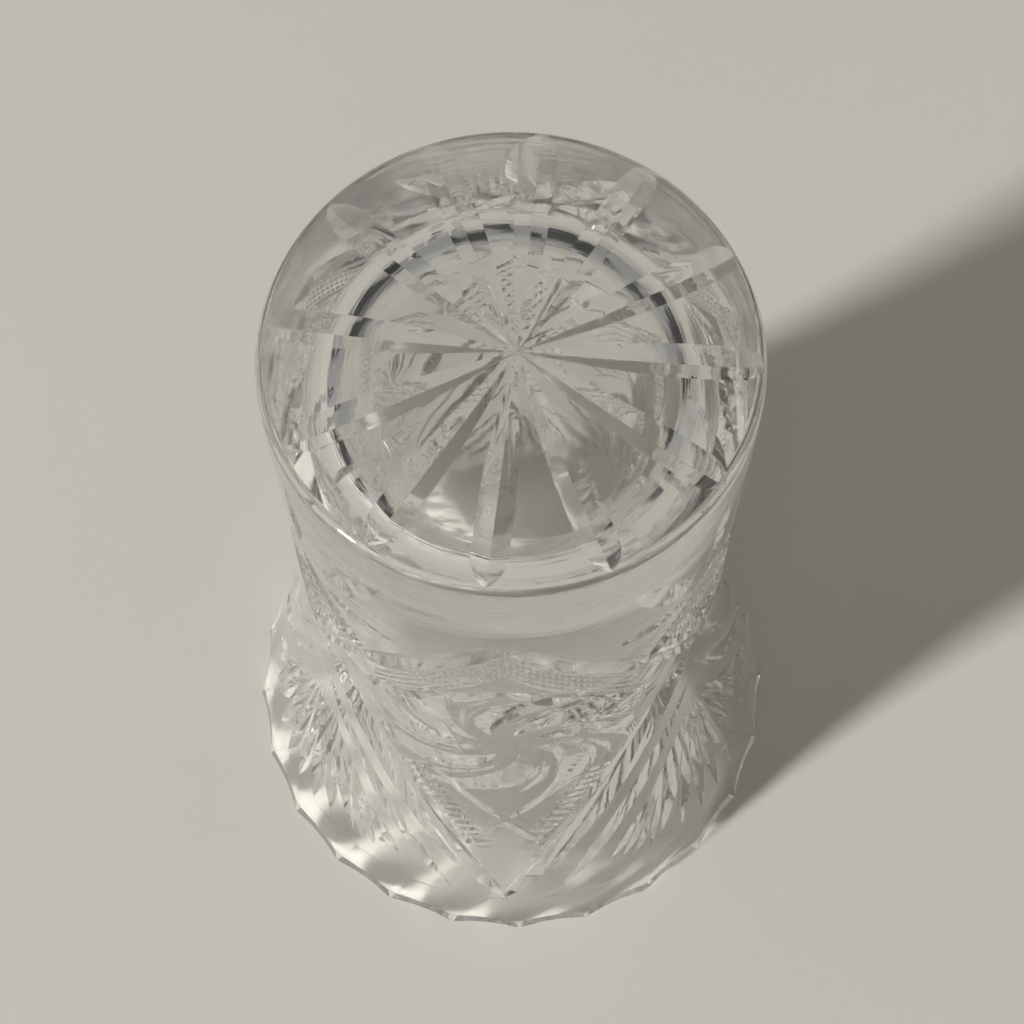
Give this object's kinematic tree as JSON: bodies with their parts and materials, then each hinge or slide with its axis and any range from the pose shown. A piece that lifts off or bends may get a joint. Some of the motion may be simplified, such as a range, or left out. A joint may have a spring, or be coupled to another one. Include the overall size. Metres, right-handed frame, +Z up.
{
  "type": "mixing glass",
  "caption": "Heavy cut-crystal bar mixing glass: waisted cylinder with a flared, scalloped mouth and a thick star-cut base, stored standing on its mouth.",
  "frame": {"origin": "centre of the scalloped mouth, on the surface the glass stands on", "axes": "+Z up along the glass axis from the mouth to the star-cut base, -Y towards the viewer, on the centre of one cut panel"},
  "size_m": [0.095, 0.095, 0.15],
  "materials": {
    "crystal": "polished clear cut crystal"
  },
  "bodies": {
    "root": {"mixing_glass": "crystal"}
  },
  "joints": []
}
